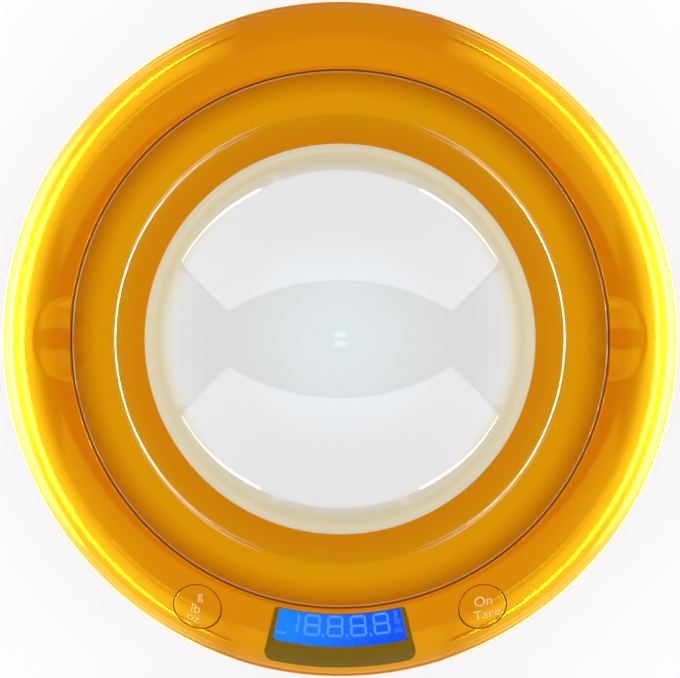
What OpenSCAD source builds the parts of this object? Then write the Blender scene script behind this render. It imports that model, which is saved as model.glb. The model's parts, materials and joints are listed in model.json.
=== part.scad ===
// Digital kitchen scale with a lift-out bowl. The display faces -Y, and the feet stand on z = 0.

/* [Bowl] */
// Diameter over the bowl's flange
bowl_d = 178.4; // [170:0.2:190]
// Thickness of the bowl, shell and lining together
bowl_wall = 2.6; // [2.2:0.1:2.9]
// Thickness of the white lining
liner_wall = 1.1; // [0.8:0.1:1.3]
// Slope of the flange at its rim
flange_rim_slope = 11; // [8:1:14]
// Slope of the flange at its inner edge
flange_edge_slope = 28; // [25:1:31]
// Radius that the flange is curved to
flange_curve = 48; // [44:1:50]
// Radius of the crest between the flange and the bowl's wall
crest_round = 3; // [3:0.1:4]
// Slope of the bowl's wall
bowl_slope = 60; // [55:1:64]
// Radius of the ring where the white lining starts
liner_r = 65.2; // [62:0.1:67]
// Radius of the round between the wall and the bottom
heel_round = 18; // [14:0.5:20]
// Slope where that round meets the dished bottom
heel_slope = 31; // [28:1:33]
// Height of the flange's outer edge
flange_skirt = 4; // [3:0.2:5]
// Radius of the ring that the bowl stands on
foot_ring_r = 31; // [27:0.5:34]
// Width of that ring
foot_ring_w = 2.6; // [2:0.2:4]

/* [Body] */
// Gap between the bowl's flange and the body
seam_gap = 0.7; // [0.5:0.1:1]
// Width of the body's ring outside the bowl
ring_w = 22.6; // [21.5:0.1:24]
// Radius of the ring's crown
crown_round = 28.8; // [27:0.2:31]
// Slope of the crown where it meets the bowl
crown_start = 5.4; // [4:0.2:7]
// Radius of the shoulder outside the crown
shoulder_round = 13.85; // [13:0.1:15]
// Wall of both housings
wall = 2.4; // [2:0.1:2.6]
// Wall of the well that holds the bowl
well_wall = 2; // [1.8:0.1:2.2]
// Straight depth of the well below its lip
lip_depth = 10; // [9:0.5:11]
// Angle that the lower housing's side has leaned in to where the base starts
side_lean = 42; // [38:1:44]
// Radius at the edge of the base
base_round = 6; // [5:0.5:7]
// Groove between the two housings
parting = 0.5; // [0.3:0.1:0.8]

/* [Finger dimples] */
// Radius of the ball that forms the dimples in the body
dimple_ball = 22; // [20:0.5:23]
// Distance from the seam out to that ball's centre
dimple_out = 3.7; // [2:0.1:4]
// Depth of those dimples at the seam
dimple_depth = 5; // [4:0.2:5.6]
// Radius of the ball that forms the dimples in the flange
thumb_ball = 12.4; // [11:0.2:13]
// Depth of the flange's dimples at the seam
thumb_depth = 5; // [4:0.2:5.4]

/* [Buttons] */
// Diameter of a button
button_d = 16; // [14:0.5:16]
// Gap round a button
button_gap = 0.35; // [0.3:0.05:0.5]
// Distance from the well's lip to the middle of a button
button_in = 11.4; // [10.6:0.1:11.9]
// Angle of a button from the front, seen from above
button_angle = 28; // [27:0.5:31]
// Travel of a button
button_travel = 0.6; // [0.3:0.1:0.8]
// Thickness of a button's cap
cap_t = 3.4; // [3.2:0.1:3.6]

/* [Display] */
// Half of the window's angle
window_half = 13.6; // [13.4:0.1:14.2]
// Distance from the well's lip to the window
window_in = 1.6; // [1.5:0.1:2]
// Depth of the window across the ring
window_w = 17.8; // [17:0.1:18.2]
// Thickness of the window
window_t = 1.5; // [1.2:0.1:1.6]
// Radius of the window's outer corners
window_corner = 3; // [2:0.5:4]
// Depth of the clear view across the ring
view_w = 11; // [10:0.1:11.4]
// Half of the clear view's angle
view_half = 12.7; // [12:0.1:12.8]
// Thickness of the display's two glasses
glass_t = 1.8; // [1.4:0.1:2]
// Thickness of the backlight
backlight_t = 2.6; // [2:0.1:3]
// Thickness of every circuit board
board_t = 1.2; // [1:0.1:1.6]

/* [Weighing] */
// Length of the load cell
cell_l = 75; // [70:1:80]
// Width of the load cell
cell_w = 12.7; // [12:0.1:14]
// Height of the load cell
cell_h = 10; // [9:0.5:11]
// Distance between the two screws at each end of the load cell
cell_pitch = 12; // [11:0.5:13]
// Distance from an end of the load cell to its first screw
cell_end = 5; // [4.5:0.5:6]
// Thickness of the plate under the load cell
base_plate_t = 2; // [1.5:0.1:3]
// Radius of the load cell's screws
cell_screw_r = 2; // [1.5:0.1:2.2]
// Gap between the load cell and the well's floor
cell_gap = 2; // [1.6:0.1:3]
// Gap between the well's floor and the platform's plate
platform_gap = 1.5; // [1.2:0.1:2.5]
// Thickness of the platform's metal plate
plate_t = 1.5; // [1.2:0.1:2]
// Thickness of the platform
platform_t = 2.4; // [2.2:0.1:3]
// Radius of the platform
platform_r = 46; // [42:0.5:48]
// How far the pads stand above the platform
pad_rise = 0.3; // [0.2:0.05:0.4]
// How far the platform sinks at full load
platform_travel = 0.5; // [0.2:0.1:0.6]

/* [Base] */
// Height of the rubber feet under the base
foot_h = 2; // [1.6:0.1:3]
// Radius of a rubber foot
foot_r = 8; // [6:0.5:9]
// Radius of the ring that the feet lie on
foot_ring = 70; // [68:0.5:71]
// Distance from the well's lip in to the housing screws
boss_in = 4.9; // [4.5:0.1:5.1]
// Radius of a screw boss
boss_r = 3.8; // [3.4:0.1:4]
// Height where the bosses of the two housings meet
boss_meet = 32; // [28:1:36]

/* [Battery compartment] */
// Diameter of a cell
battery_d = 10.5; // [10:0.1:10.6]
// Length of a cell without its contact
battery_l = 43.3; // [42:0.1:44]
// Distance from the centre of the scale to the first cell
battery_y = 61.5; // [61:0.5:62.5]
// Wall of the compartment
battery_wall = 1.5; // [1.2:0.1:1.8]
// Thickness of the door
door_t = 1.7; // [1.5:0.1:1.8]

/* [Hidden] */
// How far a facet may stray from the curve that it stands for
stray = 0.03;
// Gap between pieces that fit each other and don't move
fit = 0.1;
// Gap between pieces that move past each other
clear = 0.3;
$fn = 64;

bowl_r = bowl_d / 2;
lip_r = bowl_r + seam_gap;
body_r = lip_r + ring_w;
button_ring_r = lip_r + button_in;
boss_ring = lip_r - boss_in;

// The crown hands over to the shoulder at the slope where their widths add up to the ring's
crown_end = asin((ring_w - shoulder_round + crown_round * sin(crown_start))
    / (crown_round - shoulder_round));

// Heights, from the table up
base_z = foot_h;
floor_z = base_z + wall;
cell_z = floor_z + base_plate_t;
cell_top = cell_z + cell_h;
well_z = cell_top + cell_gap + well_wall;
plate_z = well_z + platform_gap;
platform_z = plate_z + plate_t;
seat_z = platform_z + platform_t + pad_rise;
foot_drop = 0.6;
dish_r = (liner_r - heel_round * (sin(bowl_slope) - sin(heel_slope))) / sin(heel_slope);
bottom_z = seat_z + foot_drop + bowl_wall;
heel_z = bottom_z + dish_r * (1 - cos(heel_slope));
liner_z = heel_z + heel_round * (cos(heel_slope) - cos(bowl_slope));
flange_start_r = bowl_r - 0.4;
flange_run = flange_curve * (sin(flange_edge_slope) - sin(flange_rim_slope));
crest_run = crest_round * (sin(bowl_slope) - sin(flange_edge_slope));
wall_run = flange_start_r - flange_run - crest_run - liner_r;
rim_z = liner_z + wall_run * tan(bowl_slope)
    + crest_round * (cos(flange_edge_slope) - cos(bowl_slope))
    + flange_curve * (cos(flange_rim_slope) - cos(flange_edge_slope));
lip_z = rim_z;
body_h = lip_z + crown_round * (1 - cos(crown_start));
belly_z = body_h - crown_round * (1 - cos(crown_end)) - shoulder_round * cos(crown_end);

// Points along a run of legs from p, heading h. A leg is [turn, radius] or [0, length].
// The run may be shifted to its left by side, which keeps its headings.
function facets(turn, r) = max(1, ceil(abs(turn) / (2 * acos(1 - stray / max(r, 4 * stray)))));
function leg(p, h, l, side) =
    l[0] == 0 ? [p + l[1] * [cos(h), sin(h)]] :
    let (s = sign(l[0]), r = l[1] - s * side, n = facets(l[0], l[1]))
    let (c = p + s * r * [-sin(h), cos(h)])
    [for (i = [1 : n]) let (a = h + l[0] * i / n) c + s * r * [sin(a), -cos(a)]];
function legs(p, h, run, side, i = 0) =
    i == len(run) ? [] :
    let (part = leg(p, h, run[i], side))
    concat(part, legs(part[len(part) - 1], h + run[i][0], run, side, i + 1));
function trail(p, h, run, side = 0) =
    let (start = p + side * [-sin(h), cos(h)])
    concat([start], legs(start, h, run, side));
function back(points) = [for (i = [len(points) - 1 : -1 : 0]) points[i]];
function outside(points, r) = [for (p = points) [max(p[0], r), p[1]]];

// The body's ring, from the belly up over the shoulder and crown to the lip
ring_run = [[90 - crown_end, shoulder_round], [crown_end - crown_start, crown_round]];
function ring_line(depth) = trail([body_r, belly_z], 90, ring_run, depth);
module skin(from, to) {
    rotate_extrude()
        polygon(concat(ring_line(from), back(ring_line(to))));
}
module under_ring() {
    rotate_extrude()
        polygon(concat(ring_line(0), [[lip_r, lip_z], [lip_r, base_z], [body_r, base_z]]));
}

// Height and slope of the ring's crown at a radius
crown_at = lip_r - crown_round * sin(crown_start);
function crown_slope(r) = asin((r - crown_at) / crown_round);
function crown_z(r) = body_h - crown_round * (1 - cos(crown_slope(r)));

// A frame on the ring at an angle from +X: its Z stands square to the surface, its X leads outward
module on_ring(angle, r) {
    rotate([0, 0, angle])
        translate([r, 0, crown_z(r)])
            rotate([0, crown_slope(r), 0])
                children();
}

// Outline of a sector of a ring about the front, with rounded corners
function sector(r0, r1, half, round0, round1, side = 0) =
    let (d1 = asin(round1 / (r1 - round1)), d0 = asin(round0 / (r0 + round0)))
    let (a = 270 - half + d1)
    let (edge = (r1 - round1) * cos(d1) - (r0 + round0) * cos(d0))
    trail(r1 * [cos(a), sin(a)], a + 90,
        [[2 * (half - d1), r1], [90 + d1, round1], [0, edge], [90 - d0, round0],
         [-2 * (half - d0), r0], [90 - d0, round0], [0, edge], [90 + d1, round1]], side);
module sector_block(r0, r1, half, round0, round1, side = 0) {
    linear_extrude(2 * body_h)
        polygon(sector(r0, r1, half, round0, round1, side));
}

// The well: down from the lip, in under the flange, and down to a flat floor
shelf_round = 4;
shelf_slope = 40;
shelf_run = 12;
well_turn = 8;
well_slope = 70;
well_foot = 6;
lip_cover = 1.2;
well_drop = lip_z - lip_cover - well_z - lip_depth
    - shelf_round * cos(shelf_slope) - shelf_run * sin(shelf_slope)
    - well_turn * (cos(shelf_slope) - cos(well_slope)) - well_foot * (1 - cos(well_slope));
well_run = [[0, lip_depth], [shelf_slope - 90, shelf_round], [0, shelf_run],
    [well_slope - shelf_slope, well_turn], [0, well_drop / sin(well_slope)],
    [-well_slope, well_foot]];
function well_line(side) = trail([lip_r, lip_z - lip_cover], 270, well_run, side);
module well_space() {
    rotate_extrude()
        polygon(concat([[0, body_h + 1], [lip_r, body_h + 1]], well_line(0), [[0, well_z]]));
}
module well_shell() {
    rotate_extrude()
        polygon(concat(well_line(0), [[0, well_z], [0, well_z - well_wall]],
            back(well_line(well_wall))));
}

// Places that repeat
boss_angles = [0, 50, 130, 180, 222, 318];
foot_angles = [40, 140, 215, 325];
dimple_angles = [0, 180];
button_angles = [270 + button_angle, 270 - button_angle];
module round_about(angles, r) {
    for (a = angles)
        rotate([0, 0, a])
            translate([r, 0, 0])
                children();
}

// Load cell: the fixed end is at -X, and the free end at +X carries the platform
cell_holes = [cell_l / 2 - cell_end, cell_l / 2 - cell_end - cell_pitch];
cell_mid = (cell_holes[0] + cell_holes[1]) / 2;
spacer_l = cell_pitch + 8;
spacer_w = cell_w;
spacer_room = 0.8;

// Battery compartment, behind the load cell under the well's floor
contact_t = 0.4;
nub_l = 1.1;
nub_r = 1.9;
door_edge = 2;
battery_pitch = battery_d + 1.5;
battery_room_l = battery_l + 8.7;
battery_room_y0 = battery_y - battery_d / 2 - 0.7;
battery_room_y1 = battery_y + battery_pitch + battery_d / 2 + 0.7;
battery_mid_y = battery_y + battery_pitch / 2;
battery_z = base_z + door_t + 0.5 + battery_d / 2;
cell_start = battery_room_l / 2 - contact_t - nub_l - 0.1 - battery_l;
battery_top = battery_z + battery_d / 2 + 0.8;
hinge_y = battery_room_y0 - 1.3;
hinge_z = base_z + door_t / 2;
hinge_pin_r = 0.5;
door_l = battery_room_l + 2 * door_edge;
door_y1 = battery_room_y1 + door_edge;

// Feet and screws
foot_stem_r = 1.8;
foot_sink = 1;
cell_head_r = 3.6;
cell_head_h = 1.2;
cell_thread_r = cell_screw_r - 0.05;
sunk = 0.2;
hex_r = 1.3;
stop_r = 1.5;
screw_r = 1.3;
screw_head_r = 2.8;
screw_head_h = 2;
screw_hole_r = 1.7;
wire_r = 0.5;

// Main board in the front of the lower housing
main_board_z = 24;
main_board_l = 56;
main_board_w = 20;
main_post_x = 22;
main_post_y = 4.9 - lip_r;
post_r = 2.8;
small_screw_r = 0.9;

// Depths under the ring's surface, at a button and at the display
plunger_r = 1.75;
stem_r = 2.4;
stem_end = 7;
plunger_in = 0.6;
collar_w = 1.4;
collar_t = 1.2;
collar_room = 1.8;
switch_top = stem_end + button_travel + 0.7;
switch_h = 3.5;
switch_board_top = switch_top + switch_h;
switch_screw_y = 12.6;
display_r = lip_r + window_in + view_w / 2;
view_out = lip_r + window_in + view_w;
glass_top = 4.8;
backlight_top = glass_top + glass_t;
display_board_top = backlight_top + backlight_t;
display_half = view_half + 0.5;
display_in = lip_r + 1.8;
display_out = view_out + 1;
bezel_w = 1.4;

// Lower housing: the side from the belly down to the base, with its floor
side_drop = belly_z - parting - base_z - base_round * (1 - sin(side_lean));
side_round = side_drop / sin(side_lean);
side_run = [[-side_lean, side_round], [side_lean - 90, base_round]];
function side_line(side) = trail([body_r, belly_z - parting], -90, side_run, side);
tongue_w = 1.4;
tongue_h = 1.8;
tongue_r = body_r - wall - clear;
module housing_side() {
    rotate_extrude()
        polygon(concat(side_line(0), [[0, base_z], [0, floor_z]], back(side_line(-wall))));
    // Tongue that the upper housing's edge fits over
    rotate_extrude()
        polygon([[tongue_r - tongue_w, belly_z - 6], [body_r - wall / 2, belly_z - 6],
            [body_r - wall / 2, belly_z - parting], [tongue_r, belly_z - parting],
            [tongue_r, belly_z + tongue_h], [tongue_r - tongue_w, belly_z + tongue_h]]);
}
module battery_block(grow, z0, z1) {
    translate([-battery_room_l / 2 - grow, battery_room_y0 - grow, z0])
        cube([battery_room_l + 2 * grow, battery_room_y1 - battery_room_y0 + 2 * grow, z1 - z0]);
}
module lower_housing() {
    color("orange")
        difference() {
            union() {
                housing_side();
                round_about(boss_angles, boss_ring)
                    translate([0, 0, base_z])
                        cylinder(r = boss_r, h = boss_meet - fit / 2 - base_z);
                battery_block(battery_wall, base_z, battery_top + battery_wall);
                battery_block(door_edge + 1, base_z, floor_z + 1);
                for (x = [-main_post_x, main_post_x])
                    translate([x, main_post_y, base_z])
                        cylinder(r = post_r, h = main_board_z - base_z);
                round_about(foot_angles, foot_ring)
                    translate([0, 0, base_z])
                        cylinder(r = foot_r + 1.5, h = wall + foot_sink);
            }
            round_about(boss_angles, boss_ring) {
                cylinder(r = screw_hole_r, h = boss_meet + 1);
                cylinder(r = screw_head_r + clear, h = boss_meet - 4);
            }
            battery_block(0, 0, battery_top);
            door_recess();
            for (x = [-main_post_x, main_post_x])
                translate([x, main_post_y, main_board_z - 7])
                    cylinder(r = small_screw_r, h = 8);
            round_about(foot_angles, foot_ring) {
                cylinder(r = foot_r + fit, h = base_z + foot_sink);
                cylinder(r = foot_stem_r + fit / 2, h = floor_z + foot_sink + 1);
            }
            for (x = cell_holes)
                translate([-x, 0, 0]) {
                    cylinder(r = cell_screw_r + fit, h = floor_z + 1);
                    cylinder(r = cell_head_r + fit, h = base_z + sunk + cell_head_h);
                }
            translate([cell_mid, 0, 0])
                cylinder(r = stop_r + fit / 2, h = floor_z + 1);
            // Way out for the battery leads
            translate([-battery_room_l / 2 - battery_wall / 2, battery_mid_y, battery_z])
                cube([battery_wall + 1, 3.4, 2], center = true);
        }
}

// Upper housing: the ring, the well, the dimples and what hangs under them
dimple_z = lip_z - dimple_depth + dimple_ball;
seam_r = (bowl_r + lip_r) / 2;
module dimple_balls(grow) {
    round_about(dimple_angles, seam_r + dimple_out)
        translate([0, 0, dimple_z])
            sphere(r = dimple_ball + grow);
}
window_r0 = lip_r + window_in;
window_r1 = window_r0 + window_w;
window_inner_corner = 1;
tape_gap = 0.02;
module upper_housing() {
    color("orange")
        difference() {
            union() {
                rotate_extrude()
                    polygon(concat(ring_line(0), back(outside(ring_line(wall), lip_r))));
                well_shell();
                intersection() {
                    dimple_balls(wall);
                    under_ring();
                }
                round_about(boss_angles, boss_ring)
                    translate([0, 0, boss_meet + fit / 2])
                        cylinder(r = boss_r, h = lip_z - lip_depth - 2 - boss_meet);
                for (a = button_angles, y = [-switch_screw_y, switch_screw_y])
                    on_ring(a, button_ring_r)
                        translate([0, y, -switch_board_top])
                            cylinder(r = post_r - 0.2, h = switch_board_top - 1.6);
                intersection() {
                    skin(wall / 2, display_board_top + 2);
                    for (s = [-1, 1])
                        display_post(s, -display_board_top, post_r, display_board_top);
                }
            }
            well_space();
            dimple_balls(0);
            intersection() {
                skin(-1, window_t + fit);
                sector_block(window_r0, window_r1, window_half, window_inner_corner,
                    window_corner, -fit);
            }
            intersection() {
                skin(window_t, display_board_top);
                sector_block(display_in - 0.5, view_out, view_half, 0.5, 1.5);
            }
            // The well's wall is thinned behind the display
            intersection() {
                skin(wall, display_board_top + 8);
                sector_block(display_in - 0.5, display_in + 3, display_half + 1, 0.3, 0.5);
            }
            for (a = button_angles)
                on_ring(a, button_ring_r) {
                    translate([0, 0, -wall - collar_room])
                        cylinder(r = button_d / 2 + button_gap, h = wall + 6);
                    for (y = [-switch_screw_y, switch_screw_y])
                        translate([0, y, -switch_board_top - 1])
                            cylinder(r = small_screw_r, h = 7);
                }
            for (s = [-1, 1])
                display_post(s, -display_board_top - 1, small_screw_r, 5);
            round_about(boss_angles, boss_ring)
                translate([0, 0, boss_meet])
                    cylinder(r = screw_r + fit / 2, h = 15);
            translate([cell_mid, 0, well_z])
                cube([spacer_l + 2 * spacer_room, spacer_w + 2 * spacer_room, 3 * well_wall],
                    center = true);
        }
}

// The display hangs in a frame on the ring at the front
display_post_x = display_r * sin(view_half) + 6.28;
module display_frame() {
    on_ring(270, display_r)
        children();
}
module display_post(s, z, r, h) {
    display_frame()
        translate([3, s * display_post_x, z])
            cylinder(r = r, h = h);
}
module display_slab(top, t) {
    display_frame()
        translate([0, 0, -top - t / 2])
            cube([60, 90, t], center = true);
}
module display_layer(top, t, r0, r1, half) {
    intersection() {
        display_slab(top, t);
        sector_block(r0, r1, half, 0.5, 1.5);
    }
}
module display_window() {
    color("saddlebrown", 0.7)
        intersection() {
            skin(0, window_t);
            sector_block(window_r0, window_r1, window_half, window_inner_corner, window_corner);
        }
}
module window_gasket() {
    color("dimgray")
        difference() {
            intersection() {
                skin(window_t + tape_gap, window_t + fit - tape_gap);
                sector_block(window_r0, window_r1, window_half, window_inner_corner,
                    window_corner);
            }
            sector_block(display_in - 2, view_out, view_half, 0.5, 1.5, -0.3);
        }
}
module display_bezel() {
    color("black")
        difference() {
            display_layer(glass_top - 0.5, glass_t + backlight_t + 0.5 - fit,
                display_in, display_out + bezel_w, display_half + 0.9);
            display_layer(glass_top - 1, glass_t + backlight_t + 2,
                display_in - 4, display_out + fit, display_half + 0.1);
            skin(-1, wall + fit);
        }
}
module lcd_glass() {
    color("dodgerblue")
        display_layer(glass_top, glass_t, display_in, display_out, display_half);
}
module lcd_backlight() {
    color("deepskyblue")
        difference() {
            display_layer(backlight_top + fit, backlight_t - 2 * fit, display_in, display_out,
                display_half);
            strip_slots(fit);
        }
}
strip_l = 2 * display_r * sin(view_half) - 8.65;
strip_w = 1.6;
strip_x = [-1.2, 5.6];
module strip_slots(grow) {
    for (x = strip_x)
        display_frame()
            translate([x, 0, -display_board_top + backlight_t / 2])
                cube([strip_w + 2 * grow, strip_l + 2 * grow, backlight_t - fit + 4 * grow],
                    center = true);
}
module lcd_contact_strips() {
    color("lightpink")
        strip_slots(0);
}
module display_board() {
    color("green")
        difference() {
            display_frame()
                translate([1.7, 0, -display_board_top - board_t / 2])
                    cube([13, 2 * display_post_x + 6, board_t - fit], center = true);
            for (s = [-1, 1])
                display_post(s, -display_board_top - 5, small_screw_r + fit, 8);
            well_drum(clear);
        }
}
module well_drum(gap) {
    translate([0, 0, well_z])
        cylinder(r = lip_r + well_wall + gap, h = body_h);
}

// Buttons: a cap that follows the ring, a collar under the wall and a stem down to the switch
module button(angle) {
    difference() {
        union() {
            intersection() {
                on_ring(angle, button_ring_r)
                    translate([0, 0, -cap_t - 3])
                        cylinder(r = button_d / 2, h = cap_t + 6);
                skin(0, cap_t);
            }
            intersection() {
                on_ring(angle, button_ring_r)
                    translate([0, 0, -cap_t - 4])
                        cylinder(r = button_d / 2 + collar_w, h = cap_t + 3);
                skin(wall + clear, wall + clear + collar_t);
            }
        }
        well_drum(clear + button_travel);
    }
    on_ring(angle, button_ring_r)
        translate([0, 0, -stem_end])
            cylinder(r = stem_r, h = stem_end - 2);
}
module tare_button() {
    color("orange")
        button(button_angles[0]);
}
module unit_button() {
    color("orange")
        button(button_angles[1]);
}
module switch(angle) {
    on_ring(angle, button_ring_r)
        difference() {
            translate([0, 0, -switch_top - switch_h / 2])
                cube([6, 6, switch_h], center = true);
            translate([0, 0, -switch_top - plunger_in - button_travel - clear])
                cylinder(r = plunger_r + clear, h = 2 * plunger_in + button_travel + clear);
        }
}
module tare_switch() {
    color("dimgray")
        switch(button_angles[0]);
}
module unit_switch() {
    color("dimgray")
        switch(button_angles[1]);
}
module switch_plunger(angle) {
    on_ring(angle, button_ring_r)
        translate([0, 0, -switch_top - plunger_in])
            cylinder(r = plunger_r, h = switch_top + plunger_in - stem_end);
}
module tare_switch_plunger() {
    color("black")
        switch_plunger(button_angles[0]);
}
module unit_switch_plunger() {
    color("black")
        switch_plunger(button_angles[1]);
}
module switch_boards() {
    color("green")
        for (a = button_angles)
            on_ring(a, button_ring_r)
                difference() {
                    translate([2, 0, -switch_board_top - board_t / 2])
                        cube([10, 2 * switch_screw_y + 6, board_t], center = true);
                    for (y = [-switch_screw_y, switch_screw_y])
                        translate([0, y, -switch_board_top - 4])
                            cylinder(r = small_screw_r + fit, h = 6);
                }
}

// Load cell: an aluminium bar with two joined holes that let it bend
module bar_end_holes(x_side, z0, z1, r) {
    for (x = cell_holes)
        translate([x_side * x, 0, z0])
            cylinder(r = r, h = z1 - z0);
}
bend_hole_r = 3.6;
bend_hole_x = 5.5;
module load_cell() {
    color("silver")
        difference() {
            translate([-cell_l / 2, -cell_w / 2, cell_z])
                cube([cell_l, cell_w, cell_h]);
            for (x = [-bend_hole_x, bend_hole_x])
                translate([x, 0, cell_z + cell_h / 2])
                    rotate([90, 0, 0])
                        cylinder(r = bend_hole_r, h = cell_w + 2, center = true);
            translate([0, 0, cell_z + cell_h / 2])
                cube([2 * bend_hole_x, cell_w + 2, 2], center = true);
            bar_end_holes(-1, cell_z - 1, cell_top + 1, cell_screw_r);
            bar_end_holes(1, cell_z - 1, cell_top + 1, cell_screw_r);
        }
}
gauge_t = 0.2;
module strain_gauges() {
    color("peru")
        for (x = [-bend_hole_x, bend_hole_x], z = [cell_z - gauge_t, cell_top])
            translate([x - 3, -2.5, z])
                cube([6, 5, gauge_t]);
}
module gauge_sealant() {
    color("white")
        difference() {
            for (z = [cell_z - gauge_t - 0.8, cell_top])
                translate([-11, -cell_w / 2 + 0.5, z])
                    cube([22, cell_w - 1, gauge_t + 0.8]);
            for (x = [-bend_hole_x, bend_hole_x], z = [cell_z - gauge_t, cell_top])
                translate([x - 3, -2.5, z])
                    cube([6, 5, gauge_t]);
        }
}
module load_cell_base_plate() {
    color("gray")
        difference() {
            translate([-cell_mid - spacer_l / 2, -spacer_w / 2, floor_z])
                cube([spacer_l, spacer_w, base_plate_t]);
            bar_end_holes(-1, floor_z - 1, cell_z + 1, cell_screw_r + fit);
        }
}
module load_cell_top_spacer() {
    color("gray")
        difference() {
            translate([cell_mid - spacer_l / 2, -spacer_w / 2, cell_top])
                cube([spacer_l, spacer_w, plate_z - cell_top]);
            bar_end_holes(1, cell_top - 1, plate_z + 1, cell_screw_r + fit);
        }
}
stop_gap = platform_travel + 0.2;
module overload_stop() {
    color("gray")
        translate([cell_mid, 0, base_z + 0.3])
            cylinder(r = stop_r, h = cell_z - stop_gap - base_z - 0.3);
}
module base_screws() {
    color("silver")
        for (x = cell_holes)
            translate([-x, 0, base_z + sunk])
                difference() {
                    union() {
                        cylinder(r = cell_head_r, h = cell_head_h);
                        cylinder(r = cell_thread_r, h = cell_top - 3 - base_z);
                    }
                    translate([0, 0, cell_head_h / 2 - 3])
                        cylinder(r = hex_r, h = 3, $fn = 6);
                }
}

// Platform: a metal plate on the load cell's free end under a moulded disc
pad_r = 3.2;
pad_t = 1.2;
pad_angles = [60, 120, 240, 300];
platform_top = platform_z + platform_t;
module platform_plate() {
    color("gainsboro")
        difference() {
            translate([0, 0, plate_z])
                intersection() {
                    cylinder(r = platform_r - 4, h = plate_t);
                    translate([0, 0, plate_t / 2])
                        cube([2 * platform_r, 44, plate_t + 2], center = true);
                }
            bar_end_holes(1, plate_z - 1, platform_z + 1, cell_screw_r + fit);
        }
}
module platform() {
    color("white")
        difference() {
            union() {
                translate([0, 0, platform_z])
                    cylinder(r = platform_r, h = platform_t);
                // Rib that keeps the bowl's foot ring centred
                translate([0, 0, platform_z])
                    cylinder(r = foot_ring_r + foot_ring_w / 2 + clear + 2, h = platform_t + 1.2);
            }
            translate([0, 0, platform_top])
                cylinder(r = foot_ring_r + foot_ring_w / 2 + clear, h = 5);
            bar_end_holes(1, platform_z - 1, platform_top + 3, cell_screw_r + fit);
            bar_end_holes(1, platform_top - cell_head_h - sunk, platform_top + 3,
                cell_head_r + fit);
            round_about(pad_angles, foot_ring_r)
                translate([0, 0, seat_z - pad_t])
                    cylinder(r = pad_r + fit / 2, h = pad_t + 3);
        }
}
module platform_pads() {
    color("dimgray")
        round_about(pad_angles, foot_ring_r)
            translate([0, 0, seat_z - pad_t])
                cylinder(r = pad_r, h = pad_t);
}
module platform_screws() {
    color("silver")
        for (x = cell_holes)
            translate([x, 0, 0])
                difference() {
                    union() {
                        translate([0, 0, platform_top - cell_head_h - sunk])
                            cylinder(r = cell_head_r, h = cell_head_h);
                        translate([0, 0, cell_z + 3])
                            cylinder(r = cell_thread_r, h = platform_top - 1 - cell_z - 3);
                    }
                    translate([0, 0, platform_top - sunk - cell_head_h / 2])
                        cylinder(r = hex_r, h = 3, $fn = 6);
                }
}

// Bowl: flange, crest, wall, heel and dished bottom, from the rim in to the centre
bowl_run = [[flange_edge_slope - flange_rim_slope, flange_curve],
    [bowl_slope - flange_edge_slope, crest_round],
    [0, wall_run / cos(bowl_slope)],
    [heel_slope - bowl_slope, heel_round],
    [-heel_slope, dish_r]];
function bowl_line(depth) =
    trail([flange_start_r, rim_z], 180 + flange_rim_slope, bowl_run, depth);
function wall_part(points) = [for (p = points) if (p[0] > liner_r - 0.001) p];
function dish_part(points) = [for (p = points) if (p[0] < liner_r + 0.001) [max(p[0], 0), p[1]]];
// Where the lining starts, the shell steps down square to the wall
ledge = [liner_r, liner_z] + liner_wall * [sin(bowl_slope), -cos(bowl_slope)];
thumb_z = rim_z - thumb_depth + thumb_ball;
skirt_z = rim_z - flange_skirt;
module thumb_balls(grow) {
    round_about(dimple_angles, seam_r)
        translate([0, 0, thumb_z])
            sphere(r = thumb_ball + grow);
}
function liner_bed() =
    let (line = bowl_line(liner_wall + fit / 2))
    [for (p = line) if (p[1] < ledge[1]) [max(p[0], 0), p[1]]];
module bowl_shell() {
    top = wall_part(bowl_line(0));
    under = [for (p = bowl_line(bowl_wall)) if (p[0] < bowl_r - bowl_wall) [max(p[0], 0), p[1]]];
    color("orange")
        difference() {
            union() {
                rotate([0, 0, 90])
                    rotate_extrude()
                        polygon(concat([[bowl_r, skirt_z], [bowl_r, rim_z - 0.5]], top, [ledge],
                            liner_bed(), back(under),
                            [[bowl_r - bowl_wall, rim_z - bowl_wall - 0.8],
                            [bowl_r - bowl_wall + 0.4, skirt_z]]));
                intersection() {
                    thumb_balls(bowl_wall - 0.6);
                    rotate([0, 0, 90])
                        rotate_extrude()
                            polygon(concat([[bowl_r, rim_z - 0.5]], top,
                                [[liner_r, rim_z - 16], [bowl_r, rim_z - 16]]));
                }
                // Ring that the bowl stands on
                difference() {
                    translate([0, 0, seat_z])
                        cylinder(r = foot_ring_r + foot_ring_w / 2, h = foot_drop + 6);
                    translate([0, 0, seat_z - 1])
                        cylinder(r = foot_ring_r - foot_ring_w / 2, h = foot_drop + 9);
                    dish_ball(dish_r + (liner_wall + bowl_wall) / 2);
                }
            }
            thumb_balls(0);
        }
}
module dish_ball(r) {
    translate([0, 0, bottom_z + dish_r])
        sphere(r = r);
}
module bowl_liner() {
    line = dish_part(bowl_line(0));
    bed = dish_part(bowl_line(liner_wall));
    color("ivory")
        rotate_extrude()
            polygon(concat(line, back(bed)));
}

// Electronics in the front of the body
module main_board() {
    color("green")
        difference() {
            translate([-main_board_l / 2, main_post_y - main_board_w / 2, main_board_z])
                cube([main_board_l, main_board_w, board_t]);
            for (x = [-main_post_x, main_post_x])
                translate([x, main_post_y, main_board_z - 1])
                    cylinder(r = small_screw_r + fit, h = 4);
        }
}
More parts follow.
